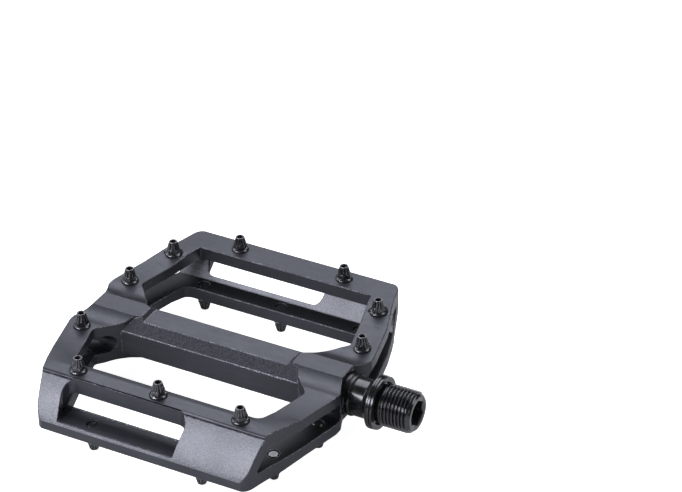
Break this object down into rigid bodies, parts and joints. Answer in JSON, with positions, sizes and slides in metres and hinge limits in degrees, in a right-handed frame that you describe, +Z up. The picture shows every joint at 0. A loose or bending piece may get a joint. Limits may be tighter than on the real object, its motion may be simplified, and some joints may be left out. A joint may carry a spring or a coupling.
{
  "type": "flat bicycle pedal",
  "caption": "Flat bicycle pedal: a hollow milled aluminium platform with screw-in traction pins turns on a steel spindle with a crank flange and thread.",
  "frame": {"origin": "on the spindle axis, in the plane where the crank arm bears on the washer beside the spindle's flange", "axes": "+X along the spindle towards the crank, +Z up out of the platform's face, +Y across the platform"},
  "size_m": [0.1239, 0.1066, 0.0274],
  "materials": {
    "platform_anodised": "matt black anodised, blasted walls",
    "pin_steel": "glossy black",
    "spindle_steel": "glossy black",
    "bearing_steel": "ground and polished",
    "zinc_steel": "satin zinc",
    "bush_bronze": "plain",
    "seal_rubber": "satin black"
  },
  "bodies": {
    "spindle_unit": {"spindle": "spindle_steel", "crank_washer": "spindle_steel", "bearing_inner_race_1": "bearing_steel", "bearing_inner_race_2": "bearing_steel", "lock_washer": "zinc_steel", "lock_nut": "zinc_steel"},
    "platform": {"platform_body": "platform_anodised", "traction_pin_01": "pin_steel", "traction_pin_02": "pin_steel", "traction_pin_03": "pin_steel", "traction_pin_04": "pin_steel", "traction_pin_05": "pin_steel", "traction_pin_06": "pin_steel", "traction_pin_07": "pin_steel", "traction_pin_08": "pin_steel", "traction_pin_09": "pin_steel", "traction_pin_10": "pin_steel", "traction_pin_11": "pin_steel", "traction_pin_12": "pin_steel", "traction_pin_13": "pin_steel", "traction_pin_14": "pin_steel", "traction_pin_15": "pin_steel", "traction_pin_16": "pin_steel", "traction_pin_17": "pin_steel", "traction_pin_18": "pin_steel", "traction_pin_19": "pin_steel", "traction_pin_20": "pin_steel", "dust_seal": "seal_rubber", "inboard_bush": "bush_bronze", "bearing_outer_race_1": "bearing_steel", "bearing_seal_inner_1": "seal_rubber", "bearing_seal_outer_1": "seal_rubber", "bearing_outer_race_2": "bearing_steel", "bearing_seal_inner_2": "seal_rubber", "bearing_seal_outer_2": "seal_rubber", "end_cap": "zinc_steel"},
    "ball_set_1": {"bearing_ball_cage_1": "bearing_steel"},
    "ball_set_2": {"bearing_ball_cage_2": "bearing_steel"}
  },
  "joints": [
    {"name": "platform_spin", "type": "hinge", "parent": "spindle_unit", "child": "platform", "pos_m": [-0.0607, 0, 0], "axis": [1, 0, 0], "continuous": true},
    {"name": "ball_set_1_spin", "type": "hinge", "parent": "spindle_unit", "child": "ball_set_1", "pos_m": [-0.0918, 0, 0], "axis": [1, 0, 0], "continuous": true},
    {"name": "ball_set_2_spin", "type": "hinge", "parent": "spindle_unit", "child": "ball_set_2", "pos_m": [-0.096, 0, 0], "axis": [1, 0, 0], "continuous": true}
  ],
  "couplings": [
    {"joint": "ball_set_1_spin", "follows": "platform_spin", "ratio": 0.565},
    {"joint": "ball_set_2_spin", "follows": "platform_spin", "ratio": 0.565}
  ]
}
